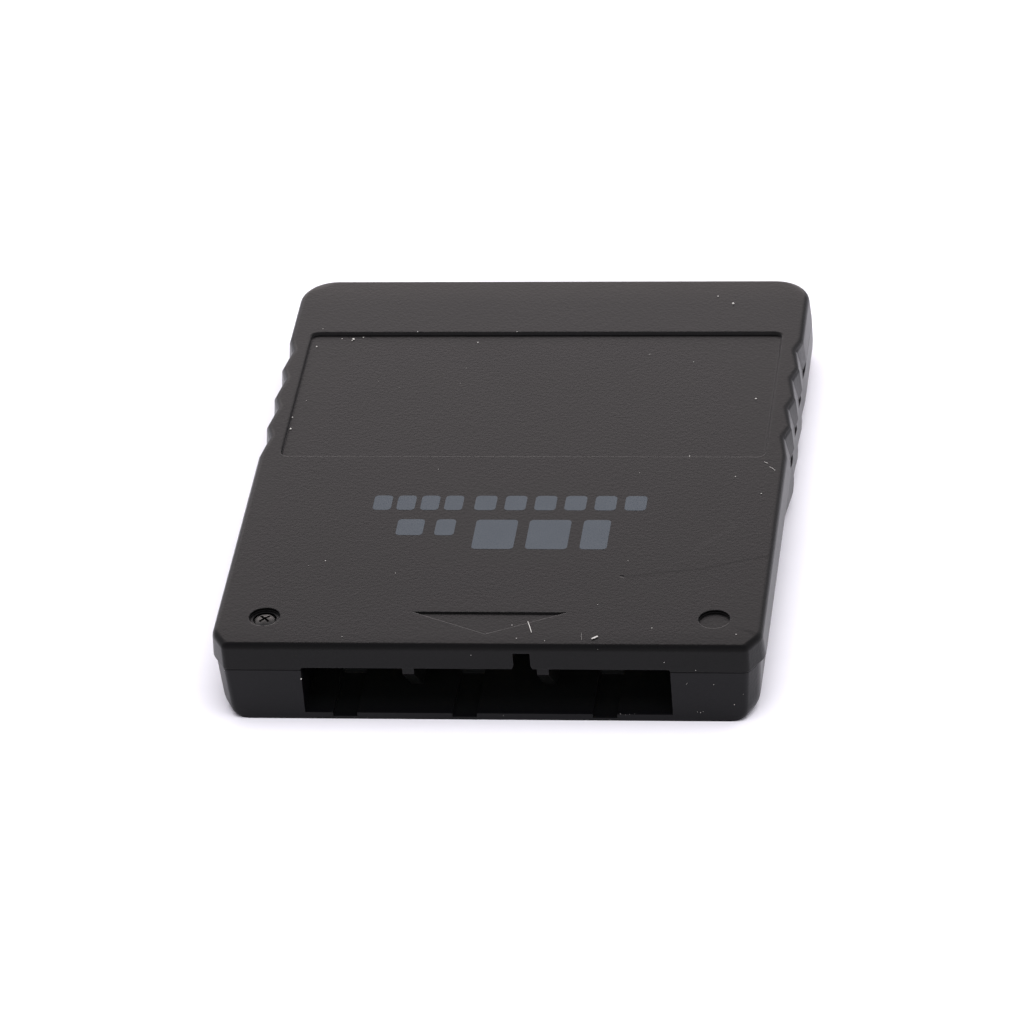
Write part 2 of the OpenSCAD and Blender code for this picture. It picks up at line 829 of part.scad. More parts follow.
// Moulded body of a chip, narrower above and below its lead plane
module chip_body(size) {
    standoff = 0.1;
    bevel = 0.12;
    rotate([90, 0, 0]) {
        linear_extrude(size.y, center = true) {
            polygon([
                [-size.x / 2 + bevel, standoff],
                [size.x / 2 - bevel, standoff],
                [size.x / 2, size.z / 2],
                [size.x / 2, size.z / 2 + 0.14],
                [size.x / 2 - bevel, size.z],
                [-size.x / 2 + bevel, size.z],
                [-size.x / 2, size.z / 2 + 0.14],
                [-size.x / 2, size.z / 2]
            ]);
        }
    }
}

// Puts a part that stands on z = 0 on the board's underside, at a place from its shoulders
module under_board(at) {
    translate([at.x, shoulder_y + at.y, board_z]) mirror([0, 0, 1]) children();
}

module memory_chip() {
    y = board_rear_y - memory_from_rear - shoulder_y;
    color(chip_black) {
        under_board([0, y]) {
            chip_body(memory_size);
            for (side = [0, 180]) {
                rotate([0, 0, side]) {
                    translate([memory_size.x / 2, 0, 0]) {
                        lead_row(memory_leads, memory_size.z, lead_w);
                    }
                }
            }
        }
    }
}

module controller_chip() {
    color(chip_black) {
        under_board(controller_place) {
            chip_body(controller_size);
            for (side = [0, 90, 180, 270]) {
                rotate([0, 0, side]) {
                    translate([controller_size.x / 2, 0, 0]) {
                        lead_row(controller_leads, controller_size.z, lead_w);
                    }
                }
            }
        }
    }
}

// Three legs on one side and a wide tab on the other
module voltage_regulator() {
    leg_w = 0.7;
    leg_pitch = 2.3;
    tab_w = 3;
    leg_l = 1.6;
    leg_t = 0.28;
    standoff = 0.05;
    half_l = regulator_size.y / 2;
    color(chip_black) {
        under_board(regulator_place) {
            difference() {
                translate([-regulator_size.x / 2, -half_l, 0]) cube(regulator_size);
                translate([-regulator_size.x, -half_l - past, -eps]) {
                    cube([2 * regulator_size.x, regulator_size.y + 2 * past, eps + standoff]);
                }
            }
            for (i = [-1:1]) {
                translate([i * leg_pitch - leg_w / 2, -half_l - leg_l, 0]) {
                    cube([leg_w, leg_l + half_l, leg_t]);
                }
            }
            translate([-tab_w / 2, 0, 0]) cube([tab_w, half_l + leg_l, leg_t]);
        }
    }
}

// Metal can with a rim round its base
module resonator() {
    rim = 0.3;
    rim_t = 0.25;
    w = resonator_size.x / 2;
    l = resonator_size.y / 2;
    color(lead_tin) {
        under_board(resonator_at) {
            slab(0, rim_t) round_rect(-w, -l, w, l, 0.5);
            slab(0, resonator_size.z) round_rect(-w + rim, -l + rim, w - rim, l - rim, 0.6);
        }
    }
}

// Moulded block with a terminal strip bent up at each end
module supply_capacitor() {
    strip_t = 0.12;
    strip_w = 2.2;
    w = supply_capacitor_size.x;
    l = supply_capacitor_size.y;
    h = supply_capacitor_size.z;
    color("#a5762c") {
        under_board([board_half_w - supply_capacitor_at.x, supply_capacitor_at.y]) {
            translate([-w / 2 + strip_t, -l / 2, strip_t]) cube([w - 2 * strip_t, l, h - strip_t]);
            for (side = [-1, 1]) {
                scale([side, 1, 1]) {
                    translate([w / 2 - strip_t, -strip_w / 2, 0]) cube([strip_t, strip_w, h / 2]);
                    translate([w / 2 - 0.8, -strip_w / 2, 0]) cube([0.8, strip_w, strip_t]);
                }
            }
        }
    }
}

// Small ceramic part with a raised metal cap at each end
module capped_part(size) {
    cap_l = 0.3;
    cap_t = 0.03;
    translate([-size.x / 2 + cap_t, -size.y / 2 + cap_t, cap_t]) {
        cube([size.x - 2 * cap_t, size.y - 2 * cap_t, size.z - 2 * cap_t]);
    }
    for (y = [-size.y / 2, size.y / 2 - cap_l]) {
        translate([-size.x / 2, y, 0]) cube([size.x, cap_l, size.z]);
    }
}

module capacitor(i) {
    place = regulator_place + capacitor_row + [(i - 1) * chip_part_pitch, 0];
    color("#9a8465") under_board(place) capped_part(capacitor_size);
}

module resistor(i) {
    place = controller_place + resistor_row + [(i - 1) * chip_part_pitch, 0];
    color("#232326") under_board(place) capped_part(resistor_size);
}

// Cross-recess screw: low domed head, shank and point
module screw() {
    dome_h = screw_head_h * 0.35;
    point_l = 0.9;
    slot_t = 0.22;
    slot_l = 1.25 * screw_head_r;
    slot_depth = 0.4;
    color(lead_tin) {
        translate([-screw_x, screw_y, screw_seat_z]) {
            difference() {
                rotate_extrude() {
                    polygon(concat(
                        [
                            [0, -screw_l],
                            [0.15, -screw_l],
                            [screw_r, -screw_l + point_l],
                            [screw_r, 0],
                            [screw_head_r, 0],
                            [screw_head_r, screw_head_h - dome_h]
                        ],
                        [for (i = [1:6]) [
                            screw_head_r * cos(15 * i),
                            screw_head_h - dome_h + dome_h * sin(15 * i)
                        ]]
                    ));
                }
                for (turn = [45, 135]) {
                    rotate([0, 0, turn]) {
                        translate([-slot_l / 2, -slot_t / 2, screw_head_h - slot_depth]) {
                            cube([slot_l, slot_t, slot_depth + past]);
                        }
                    }
                }
            }
        }
    }
}

top_shell();
bottom_shell();
circuit_board();
contact(1);  // contact_1
contact(2);  // contact_2
contact(3);  // contact_3
contact(4);  // contact_4
contact(5);  // contact_5
contact(6);  // contact_6
contact(7);  // contact_7
contact(8);  // contact_8
memory_chip();
controller_chip();
voltage_regulator();
resonator();
supply_capacitor();
capacitor(1);  // capacitor_1
capacitor(2);  // capacitor_2
capacitor(3);  // capacitor_3
capacitor(4);  // capacitor_4
resistor(1);  // resistor_1
resistor(2);  // resistor_2
resistor(3);  // resistor_3
resistor(4);  // resistor_4
screw();
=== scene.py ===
# %% [markdown]
# # A memory card for a game console
#
# The card is a flat black plastic case, 44 mm wide, 55 mm deep and 7 mm thick. Two moulded
# shells close round a small circuit board, and a screw holds them together at the front.
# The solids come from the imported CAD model, and they stay where they are. This lesson gives
# them their finishes, the print on the top, and the dust of a card that has been handled.

# %% Load the solids
import math
import random

import bmesh
import bpy
from mathutils import Matrix, Quaternion, Vector


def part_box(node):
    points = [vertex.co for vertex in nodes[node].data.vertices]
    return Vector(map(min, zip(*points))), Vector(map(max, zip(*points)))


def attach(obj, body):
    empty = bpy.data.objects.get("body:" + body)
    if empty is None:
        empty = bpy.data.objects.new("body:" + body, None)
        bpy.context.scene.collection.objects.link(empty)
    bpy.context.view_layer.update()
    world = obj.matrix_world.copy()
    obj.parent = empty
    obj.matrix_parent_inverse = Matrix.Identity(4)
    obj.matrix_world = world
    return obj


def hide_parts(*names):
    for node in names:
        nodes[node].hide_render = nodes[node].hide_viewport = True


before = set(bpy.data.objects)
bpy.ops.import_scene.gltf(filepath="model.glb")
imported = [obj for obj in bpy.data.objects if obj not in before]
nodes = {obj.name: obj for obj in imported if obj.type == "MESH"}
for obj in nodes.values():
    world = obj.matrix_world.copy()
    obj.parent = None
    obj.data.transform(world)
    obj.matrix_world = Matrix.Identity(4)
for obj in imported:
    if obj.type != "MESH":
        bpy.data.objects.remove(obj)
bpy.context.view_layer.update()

# %% [markdown]
# ## Camera
#
# The photograph was taken with a long lens, a little to the right of the card's middle and
# from a third of the way up, with the camera tipped a few degrees. A camera could be placed by
# its coordinates, but a target, a distance and three angles say the same and are easier to
# change: the camera looks back along one arrow, and is then rolled about it.

# %% Place the camera
MM = 0.001
TARGET = Vector((-1.26, 0.46, 1.04)) * MM
DISTANCE = 507.8 * MM
AZIMUTH = math.radians(9.19)
ELEVATION = math.radians(33.42)
ROLL = math.radians(-4.93)
LENS = 216.05

to_camera = Vector((
    math.sin(AZIMUTH) * math.cos(ELEVATION),
    -math.cos(AZIMUTH) * math.cos(ELEVATION),
    math.sin(ELEVATION),
))
turn = Quaternion(to_camera, ROLL) @ to_camera.to_track_quat("Z", "Y")
camera_data = bpy.data.cameras.new("photo_lens")
camera_data.lens = LENS
camera_data.sensor_width = 36
camera_data.clip_start = 0.01
camera = bpy.data.objects.new("photo_camera", camera_data)
camera.matrix_world = Matrix.Translation(TARGET + DISTANCE * to_camera) @ turn.to_matrix().to_4x4()
bpy.context.collection.objects.link(camera)
bpy.context.scene.camera = camera
print("camera at", [round(v, 4) for v in camera.location])

# %% [markdown]
# ## Sums for the finishes
#
# Every finish here is made of nodes. Wiring them by hand takes a line for each link, so one
# small class wraps a socket and lets a sum be written as a sum: 1 - mask adds the Math nodes
# that take the mask from one. A second class holds the material or the surroundings, and its
# one method adds any other node.

# %% Two small classes
class Level:
    """An output socket that can be used in sums."""

    def __init__(self, finish, socket):
        self.finish = finish
        self.socket = socket

    def math(self, operation, *others):
        return self.finish.node("ShaderNodeMath", {"operation": operation}, (self, *others))

    def other(self, name):
        return Level(self.finish, self.socket.node.outputs[name])

    def clamped(self):
        return self.finish.node("ShaderNodeClamp", inputs=(self, 0.0, 1.0))

    def __add__(self, value):
        return self.math("ADD", value)

    def __sub__(self, value):
        return self.math("SUBTRACT", value)

    def __rsub__(self, value):
        return self * -1 + value

    def __mul__(self, value):
        return self.math("MULTIPLY", value)

    def __truediv__(self, value):
        return self.math("DIVIDE", value)

    def __gt__(self, value):
        return self.math("GREATER_THAN", value)

    def __lt__(self, value):
        return self.math("LESS_THAN", value)

    __radd__ = __add__


class Finish:
    """A material or the surroundings, and the one method that adds a node to it."""

    def __init__(self, name, shelf=None):
        self.material = (bpy.data.materials if shelf is None else shelf).new(name)
        self.material.use_nodes = True
        self.tree = self.material.node_tree
        self.tree.nodes.clear()

    def node(self, kind, settings=None, inputs=(), output=0):
        made = self.tree.nodes.new(kind)
        for key, value in (settings or {}).items():
            if key == "stops":
                for place, _ in value[2:]:
                    made.color_ramp.elements.new(place)
                for element, (place, colour) in zip(made.color_ramp.elements, value):
                    element.position = place
                    element.color = (*colour, 1)
            else:
                setattr(made, key, value)
        places = inputs.items() if isinstance(inputs, dict) else enumerate(inputs)
        for place, value in places:
            if isinstance(value, Level):
                self.tree.links.new(value.socket, made.inputs[place])
            else:
                made.inputs[place].default_value = value
        return Level(self, made.outputs[output]) if made.outputs else None


# %% [markdown]
# The helpers below are the few patterns that the finishes share. They all start from the
# object's own coordinates in millimetres, so that a grain of 0.2 mm is written as 0.2, and
# the pattern stays on the piece from whatever side it is seen.

# %% Patterns that the finishes share
COLOUR_A, COLOUR_B, COLOUR_OUT = 6, 7, 2


def vector(finish, operation, *values, output=0):
    return finish.node("ShaderNodeVectorMath", {"operation": operation}, values, output)


def scaled(finish, arrow, amount):
    inputs = {0: arrow, "Scale": amount}
    return finish.node("ShaderNodeVectorMath", {"operation": "SCALE"}, inputs)


def place_in_mm(finish):
    metres = finish.node("ShaderNodeTexCoord", output="Object")
    return scaled(finish, metres, 1 / MM)


def split(finish, arrow):
    x = finish.node("ShaderNodeSeparateXYZ", {}, (arrow,))
    return x, x.other("Y"), x.other("Z")


def cloudy(finish, place, size, detail=2.0):
    inputs = {"Vector": place, "Scale": 1 / size, "Detail": detail}
    return finish.node("ShaderNodeTexNoise", {}, inputs)


def ramp_between(finish, value, low, high, start=0.0, end=1.0):
    return finish.node("ShaderNodeMapRange", {}, (value, low, high, start, end))


def mixed(finish, mask, first, second):
    inputs = {0: mask, COLOUR_A: first, COLOUR_B: second}
    return finish.node("ShaderNodeMix", {"data_type": "RGBA"}, inputs, COLOUR_OUT)


def relief(finish, height, depth_mm, below=None):
    inputs = {"Strength": 1.0, "Distance": depth_mm * MM, "Height": height}
    if below is not None:
        inputs["Normal"] = below
    return finish.node("ShaderNodeBump", {}, inputs)


def rounded_edges(finish, radius_mm):
    return finish.node("ShaderNodeBevel", {"samples": 8}, {"Radius": radius_mm * MM})


def close(finish, **sockets):
    inputs = {name.replace("_", " "): value for name, value in sockets.items()}
    surface = finish.node("ShaderNodeBsdfPrincipled", {}, inputs)
    finish.node("ShaderNodeOutputMaterial", {}, {"Surface": surface})
    print("finish", finish.material.name, "with", len(finish.tree.nodes), "nodes")
    return finish.material


# %% [markdown]
# ## Black plastic
#
# Both shells are moulded in black plastic. The mould was etched, so the surface has a fine
# leathery grain, about a quarter of a millimetre across, which is felt more than seen. It could
# be carved, but that takes millions of faces for a hundredth of a millimetre. A bump made from
# a cell pattern and a cloudy one gives the same sparkle.
#
# The marks of use on the top are a long scratch, the pit it starts from, and a faint rub. Each
# is a stroke: the distance from a line through a few points, turned into a mask.

# %% Distance from a stroke
# A stroke is full to this share of its half width, and fades out over the rest.
FULL_SHARE = 0.35


def on_stroke(finish, place, points, half_width):
    nearest = None
    for start, end in zip(points, points[1:]):
        start, end = Vector((*start, 0)), Vector((*end, 0))
        along = end - start
        offset = vector(finish, "SUBTRACT", place, start)
        share = vector(finish, "DOT_PRODUCT", offset, along, output="Value") / along.length_squared
        foot = scaled(finish, along, share.clamped())
        gap = vector(finish, "DISTANCE", offset, foot, output="Value")
        nearest = gap if nearest is None else gap.math("MINIMUM", nearest)
    return ramp_between(finish, nearest, FULL_SHARE * half_width, half_width, 1.0, 0.0)


# %% [markdown]
# The rest of the plastic's look depends on where it is. No moulded edge is perfectly sharp, so a
# Bevel node rounds the light on the edges by a tenth of a millimetre, and by more round the
# label's hollow, where the step is soft. Where the rounded direction leaves the face's own, the
# plastic is rubbed paler in patches, as hands leave it. Towards the rear end it is painted paler,
# a painted glow that stands in for the light near the rear rim, and inside the connector's mouth
# it is painted paler too, a painted glare that lifts the black there.
#
# The lower shell is a shade bluer than the upper one, and its black is paler: a painted reflection
# that brightens its front face as the mirrored floor would. So the function takes the black as a
# value. All places are in millimetres from the middle of the card's underside.

# %% The shells' plastic
PLASTIC_IOR = 1.265
UPPER_BLACK = (0.0012, 0.0011, 0.0011, 1)
# The lower shell's paler black is painted reflection, brightening its front face.
LOWER_BLACK_WITH_SHEEN = (0.0030, 0.0029, 0.0036, 1)
WORN_BLACK = (0.0085, 0.0080, 0.0080, 1)
# Painted glare: the paler black inside the connector's mouth.
MOUTH_GLARE_BLACK = (0.0145, 0.0160, 0.0150, 1)
# Painted glow: the paler black towards the rear end stands in for light near the rear rim.
REAR_GLOW_BLACK = (0.0092, 0.0078, 0.0068, 1)
PLAIN_ROUGH, HANDLED_ROUGH, SCRATCH_ROUGH = 0.31, 0.06, 0.12
GRAIN_CELL, GRAIN_CLOUD, GRAIN_DEPTH = 0.26, 0.13, 0.0078
HAND_PATCH, PATCH_FROM, PATCH_FULL = 9.0, 0.35, 0.65
CRISP_EDGE, SOFT_EDGE = 0.09, 0.3
UNWORN_BEND, WORN_BEND = 0.98, 0.85
MOUTH_HALF_W, MOUTH_FLOOR, MOUTH_TOP = 14.64, 0.2, 4.88
MOUTH_FRONT, MOUTH_DIM, MOUTH_BACK = -27.4, -21.5, -15
# The painted glow at the rear grows from the first value to the second.
REAR_GLOW_FROM, REAR_END = 23.5, 27.5
LABEL_EDGE_X, LABEL_EDGE_Z = 20.6, 6
LABEL_EDGE_FRONT, LABEL_REAR_STEP, LABEL_EDGE_REAR = 0.8, 17.5, 19.8
TOP_FACE = 6.5
PIT = [(10.0, -17.6), (10.12, -17.66)]
SCRATCH = [(10.1, -17.7), (13.8, -16.9), (16.1, -16.6), (18.0, -15.9), (19.7, -15.2), (21.4, -14.7)]
RUB = [(15.6, -13.8), (16.3, -12.8), (17.7, -11.4), (18.5, -10.4), (17.9, -9.6)]
PIT_HALF_W, SCRATCH_HALF_W, RUB_HALF_W = 0.17, 0.2, 0.3
PIT_DEPTH, RUB_STRENGTH = 4, 0.35


def moulded_plastic(name, black):
    finish = Finish(name)
    place = place_in_mm(finish)
    flat = vector(finish, "MULTIPLY", place, (1, 1, 0))
    x, y, z = split(finish, place)
    across = x.math("ABSOLUTE")

    # The grain, the patches that hands leave, and the three marks on the top.
    cells = finish.node(
        "ShaderNodeTexVoronoi", {"feature": "SMOOTH_F1"},
        {"Vector": place, "Scale": 1 / GRAIN_CELL, "Smoothness": 0.6, "Randomness": 1.0},
        "Distance",
    )
    grain = cells * 0.7 + cloudy(finish, place, GRAIN_CLOUD, detail=1.0) * 0.7
    handled = cloudy(finish, place, HAND_PATCH, detail=3.0)
    on_top = z > TOP_FACE
    scratch = on_stroke(finish, flat, SCRATCH, SCRATCH_HALF_W) * on_top
    pit = on_stroke(finish, flat, PIT, PIT_HALF_W) * on_top
    rub = on_stroke(finish, flat, RUB, RUB_HALF_W) * on_top

    # Edges: softer round the label, and paler where they bend away from the face.
    crisp, soft = rounded_edges(finish, CRISP_EDGE), rounded_edges(finish, SOFT_EDGE)
    by_label = (across < LABEL_EDGE_X) * (y > LABEL_EDGE_FRONT) * (y < LABEL_EDGE_REAR)
    by_label = by_label * (z > LABEL_EDGE_Z)
    edges = mixed(finish, by_label, crisp, soft)
    shape = finish.node("ShaderNodeNewGeometry", output="True Normal")
    bend = vector(finish, "DOT_PRODUCT", edges, shape, output="Value")
    rear_step = by_label * (y > LABEL_REAR_STEP)
    touched = ramp_between(finish, handled, PATCH_FROM, PATCH_FULL) * (1 - by_label)
    touched = touched.math("MAXIMUM", rear_step)
    worn = ramp_between(finish, bend, UNWORN_BEND, WORN_BEND) * touched
    worn = worn.math("MAXIMUM", rub * RUB_STRENGTH)

    # The colours, each laid over the one before.
    # Painted glare: inside the mouth the black is lifted paler, fading in from the front.
    in_mouth = (across < MOUTH_HALF_W) * (y < MOUTH_BACK) * (z > MOUTH_FLOOR) * (z < MOUTH_TOP)
    in_mouth = in_mouth * ramp_between(finish, y, MOUTH_FRONT, MOUTH_DIM)
    # Painted glow: paler towards the rear end, standing in for light near the rear rim.
    colour = mixed(finish, ramp_between(finish, y, REAR_GLOW_FROM, REAR_END), black, REAR_GLOW_BLACK)
    colour = mixed(finish, worn, colour, WORN_BLACK)
    colour = mixed(finish, in_mouth, colour, MOUTH_GLARE_BLACK)
    return close(
        finish,
        Base_Color=colour,
        Roughness=PLAIN_ROUGH + handled * HANDLED_ROUGH + scratch * SCRATCH_ROUGH,
        IOR=PLASTIC_IOR,
        Normal=relief(finish, grain - pit * PIT_DEPTH, GRAIN_DEPTH, edges),
    )


upper_plastic = moulded_plastic("black_plastic_upper", UPPER_BLACK)
lower_plastic = moulded_plastic("black_plastic_lower", LOWER_BLACK_WITH_SHEEN)

# %% [markdown]
# ## The two shells
#
# A solid from CAD is a bag of loose triangles, so every facet of a fillet would show. A copy of
# each shell has its double corners merged, and is then shaded smooth except at its real edges.
# The fillets turn by 18 degrees a step, so an edge is real from 27 degrees up. The grips' upright
# edges are blunter than that, and are kept by their direction. The copies stand for the solids.

# %% Merge and smooth the shells
DOUBLE = 0.002 * MM
SHARP = math.radians(27)
GRIP_SHARP = math.radians(12)
UPRIGHT = 0.8
GRIP_REACH = 20.5 * MM
GRIP_FRONT, GRIP_REAR = -5 * MM, 17.5 * MM


def is_sharp(edge):
    if len(edge.link_faces) != 2:
        return True
    angle = edge.calc_face_angle()
    low, high = (corner.co for corner in edge.verts)
    upright = abs(high.z - low.z) > UPRIGHT * (high - low).length
    in_grip = min(abs(low.x), abs(high.x)) > GRIP_REACH and GRIP_FRONT < low.y < GRIP_REAR
    return angle > (GRIP_SHARP if upright and in_grip else SHARP)


def smooth_shell(node, name, plastic):
    mesh = bpy.data.meshes.new(name)
    work = bmesh.new()
    work.from_mesh(nodes[node].data)
    bmesh.ops.remove_doubles(work, verts=work.verts, dist=DOUBLE)
    for face in work.faces:
        face.smooth = True
        face.material_index = 0
    for edge in work.edges:
        edge.smooth = not is_sharp(edge)
    work.to_mesh(mesh)
    work.free()
    for layer in [a for a in mesh.attributes if a.name == "custom_normal"]:
        mesh.attributes.remove(layer)
    mesh.materials.append(plastic)
    shell = bpy.data.objects.new(name, mesh)
    bpy.context.collection.objects.link(shell)
    shade = shell.modifiers.new("flat_faces_stay_flat", "WEIGHTED_NORMAL")
    shade.keep_sharp = True
    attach(shell, "root")
    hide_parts(node)
    print(name, len(mesh.vertices), "corners,", len(mesh.polygons), "faces")


smooth_shell("top_shell", "top_case_half", upper_plastic)
smooth_shell("bottom_shell", "bottom_case_half", lower_plastic)

# %% [markdown]
# ## The print
#
# A bluish grey ink is printed on the top, in two rows of plain rounded blocks. A print could be
# a mask in the plastic, but a mask is only as sharp as the picture it is baked to, so the ink
# is a real film: thin blocks with rounded corners, half sunk in the top face.

# %% Print the blocks
TOP_Z = 7 * MM
INK_T = 0.015 * MM
INK_CORNER = 0.35 * MM
INK_DARK = (0.044, 0.053, 0.064, 1)
INK_LIGHT = (0.052, 0.062, 0.074, 1)

# Each block is x and y of its middle, width and length.
REAR_ROW_Y, REAR_ROW_L = -7.15, 2.1
ink_blocks = [(x, REAR_ROW_Y, 1.5, REAR_ROW_L) for x in (-10.55, -8.6, -6.65, -4.7)]
ink_blocks += [(-2.1 + i * 2.45, REAR_ROW_Y, 1.75, REAR_ROW_L) for i in range(6)]
ink_blocks += [(-7.85, -10.7, 2.2, 2.3), (-5.0, -10.7, 1.6, 2.3)]
ink_blocks += [(-0.85, -11.7, 3.4, 4.2), (3.5, -11.7, 3.4, 4.2), (7.3, -11.7, 2.2, 4.2)]


def flat_block(work, x, y, width, length):
    corners = bmesh.ops.create_cube(work, size=1)["verts"]
    bmesh.ops.scale(work, verts=corners, vec=Vector((width * MM, length * MM, INK_T)))
    bmesh.ops.translate(work, verts=corners, vec=Vector((x * MM, y * MM, TOP_Z)))
    edges = {edge for corner in corners for edge in corner.link_edges}
    upright = [e for e in edges if abs(e.verts[0].co.z - e.verts[1].co.z) > INK_T / 2]
    bmesh.ops.bevel(
        work, geom=upright, offset=INK_CORNER, affect="EDGES", segments=5, profile=0.5, material=-1
    )


def printing_ink():
    finish = Finish("grey_printing_ink")
    place = place_in_mm(finish)
    screen = cloudy(finish, place, 0.12)
    patches = cloudy(finish, place, 2.5)
    return close(
        finish,
        Base_Color=mixed(finish, patches, INK_DARK, INK_LIGHT),
        Roughness=0.42 + screen * 0.1,
        IOR=PLASTIC_IOR,
        Normal=relief(finish, screen, 0.006),
    )


def new_piece(name, work, material):
    mesh = bpy.data.meshes.new(name)
    work.to_mesh(mesh)
    work.free()
    mesh.materials.append(material)
    piece = bpy.data.objects.new(name, mesh)
    bpy.context.collection.objects.link(piece)
    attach(piece, "root")
    print(name, len(mesh.polygons), "faces")


ink_work = bmesh.new()
for block in ink_blocks:
    flat_block(ink_work, *block)
new_piece("printed_blocks", ink_work, printing_ink())

# %% [markdown]
# ## Dust and lint
#
# The card was handled before it was photographed: pale specks lie on the top, most along the
# label's hollow, and on the front face, with a few short fibres. A speck a tenth of a millimetre
# wide is only a pixel or two, but a black surface without any looks like a drawing. Each speck
# is a small rough pebble, squashed and turned, pressed a little into the plastic. One pebble on
# the front, at the mouth's left corner, is a painted highlight that stands in for a glint.

# %% Scatter the dust
TOP_FACE_Z, LABEL_Z = 7.0, 6.8
LABEL_HALF_W, LABEL_FRONT, LABEL_REAR = 20, -0.2, 18.8
SPECK_LIFT = 0.2
DUST_DARK = (0.42, 0.40, 0.37, 1)
DUST_LIGHT = (0.72, 0.70, 0.67, 1)

# On the top, x, y and size. On the front face, x, y, z and size.
dust = [
    (-19.4, 16.9, 0.18), (-16.4, 18.1, 0.22), (-15.6, 18.4, 0.13), (-16.5, 17.9, 0.12),
    (-17.4, 18.2, 0.09), (-19.2, 19.5, 0.08), (-11.0, 19.0, 0.09), (-5.7, 17.6, 0.13),
    (-6.2, 13.5, 0.08), (-6.4, 11.2, 0.06), (-11.5, 10.5, 0.05), (-13.4, 11.5, 0.05),
    (-19.1, 8.5, 0.07), (-19.8, 4.1, 0.2), (-19.9, 5.9, 0.13), (-6.6, -2.2, 0.07),
    (-2.5, 19.0, 0.09), (15.5, 23.4, 0.21), (14.1, 24.6, 0.13), (18.6, 8.8, 0.15),
    (12.9, 14.5, 0.08), (9.1, 15.7, 0.07), (17.9, -3.2, 0.11), (20.2, -5.7, 0.12),
    (10.0, -2.7, 0.07), (10.3, -15.4, 0.07), (13.1, -24.8, 0.09), (19.8, -25.6, 0.13),
    (8.5, -21.6, 0.07), (-14.1, -15.6, 0.12), (-8.2, -17.3, 0.08), (-15.4, -16.3, 0.06),
    (-11.3, -26.2, 0.08), (13.85, 0.1, 0.12), (21.0, -2.22, 0.08), (2.0, -24.5, 0.1),
    (2.55, -26.3, 0.08), (4.8, -26.6, 0.06),
]
front_dust_and_glint = [
    (19.55, -27.5, 1.64, 0.1), (15.86, -27.5, 3.59, 0.05), (16.6, -27.5, 0.9, 0.05),
    (16.83, -27.5, 0.85, 0.06), (17.05, -27.5, 0.95, 0.05), (14.23, -27.48, 5.62, 0.07),
    (16.67, -27.49, 4.9, 0.07), (15.96, -27.5, 3.66, 0.04), (18.02, -27.5, 3.54, 0.05),
    # The speck at the mouth's left corner, x -14.68, is a painted highlight in place of a glint.
    (20.29, -27.48, 2.64, 0.04), (9.08, -27.36, 6.77, 0.05), (-14.68, -27.5, 3.85, 0.14),
    (-20.81, -27.26, 4.45, 0.06), (-0.97, -27.46, 6.2, 0.06), (1.2, -27.5, 0.45, 0.05),
    (10.5, -27.4, 0.6, 0.06), (10.9, -27.48, 0.58, 0.05), (11.2, -27.45, 0.6, 0.06),
    (11.58, -27.4, 0.6, 0.05),
]


def in_label(x, y):
    return abs(x) < LABEL_HALF_W and LABEL_FRONT < y < LABEL_REAR


def pebble(work, at, size, chance):
    corners = bmesh.ops.create_icosphere(work, subdivisions=1, radius=size / 2 * MM)["verts"]
    stretch = Vector((chance.uniform(0.8, 1.3), chance.uniform(0.7, 1.1), chance.uniform(0.5, 0.8)))
    bmesh.ops.scale(work, verts=corners, vec=stretch)
    for corner in corners:
        corner.co *= chance.uniform(0.85, 1.15)
    spin = Matrix.Rotation(chance.uniform(0, math.tau), 3, "Z")
    bmesh.ops.rotate(work, verts=corners, matrix=spin)
    bmesh.ops.translate(work, verts=corners, vec=Vector(at) * MM)


def dust_finish():
    finish = Finish("pale_dust")
    shade = cloudy(finish, place_in_mm(finish), 0.05)
    colour = mixed(finish, shade, DUST_DARK, DUST_LIGHT)
    return close(finish, Base_Color=colour, Roughness=0.85 + shade * 0.1)


chance = random.Random(7)
pale_dust = dust_finish()
dust_work = bmesh.new()
for x, y, size in dust:
    surface = LABEL_Z if in_label(x, y) else TOP_FACE_Z
    pebble(dust_work, (x, y, surface + SPECK_LIFT * size), size, chance)
for x, y, z, size in front_dust_and_glint:
    pebble(dust_work, (x, y - SPECK_LIFT * size, z), size, chance)
new_piece("dust_and_glint_specks", dust_work, pale_dust)

# %% [markdown]
# A fibre is a thin tube laid through two or three points. A curve object could do it, but rings
# of six corners bridged one to the next keep it a plain closed mesh, like the specks.

# %% Lay the fibres
FIBRE_SIDES, FIBRE_TIP, FIBRE_LIFT = 6, 0.7, 0.4
fibres = [
    ([(20.05, -1.02, 7), (20.39, -1.25, 7)], 0.05),
    ([(20.52, -1.69, 7), (20.8, -1.95, 7), (21.06, -2.28, 7)], 0.028),
    ([(3.2, -24.0, 7), (3.4, -24.6, 7), (3.66, -25.5, 7)], 0.07),
    ([(8.5, -26.36, 7), (8.72, -26.22, 7), (8.95, -26.02, 7)], 0.15),
    ([(7.62, -25.5, 7), (7.66, -26.0, 7), (7.72, -26.5, 7)], 0.008),
]


